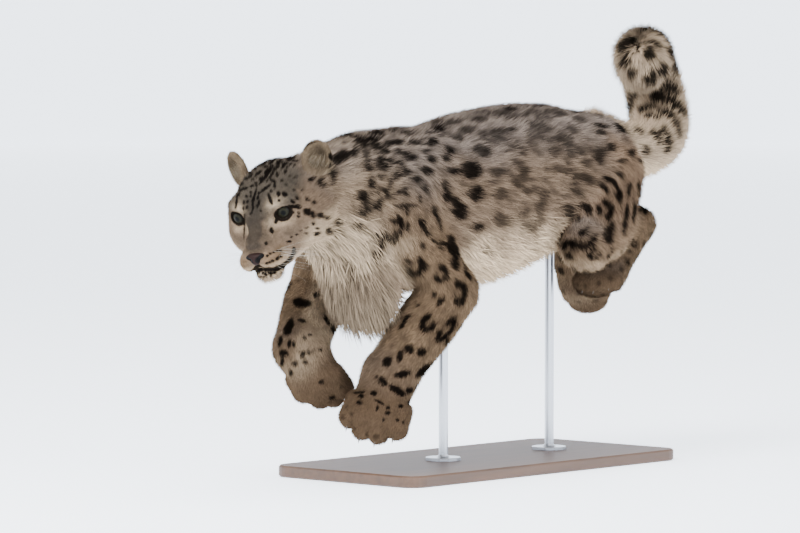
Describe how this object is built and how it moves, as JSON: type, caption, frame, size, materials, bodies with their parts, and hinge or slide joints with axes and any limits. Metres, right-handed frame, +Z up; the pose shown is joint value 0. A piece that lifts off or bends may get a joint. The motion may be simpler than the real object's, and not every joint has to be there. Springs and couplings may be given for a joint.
{
  "type": "snow leopard figure",
  "caption": "Life-size snow leopard in mid-leap, thick spotted coat and long raised tail, held above a plain flat base by slim upright rods.",
  "frame": {"origin": "centre of the underside of the display base", "axes": "+Z up, the cat heads towards -X with its left side towards -Y, X runs along the body from the tail to the head"},
  "size_m": [1.5192, 0.4283, 0.8515],
  "materials": {
    "coat": "fur",
    "eye": "polished",
    "nose_skin": "moist skin",
    "base_wood": "satin lacquer",
    "rod_steel": "brushed"
  },
  "bodies": {
    "root": {"belly": "coat", "chest": "coat", "ear_left": "coat", "ear_right": "coat", "eye_left": "eye", "eye_right": "eye", "foreleg_left_lower": "coat", "foreleg_left_paw": "coat", "foreleg_left_upper": "coat", "foreleg_right_lower": "coat", "foreleg_right_paw": "coat", "foreleg_right_upper": "coat", "head": "coat", "hindleg_left_lower": "coat", "hindleg_left_paw": "coat", "hindleg_left_upper": "coat", "hindleg_right_lower": "coat", "hindleg_right_paw": "coat", "hindleg_right_upper": "coat", "neck": "coat", "nose": "nose_skin", "rump": "coat", "stand_base": "base_wood", "stand_rod_front": "rod_steel", "stand_rod_rear": "rod_steel", "tail_base": "coat", "tail_end": "coat", "tail_middle": "coat", "tail_tip": "coat"}
  },
  "joints": []
}
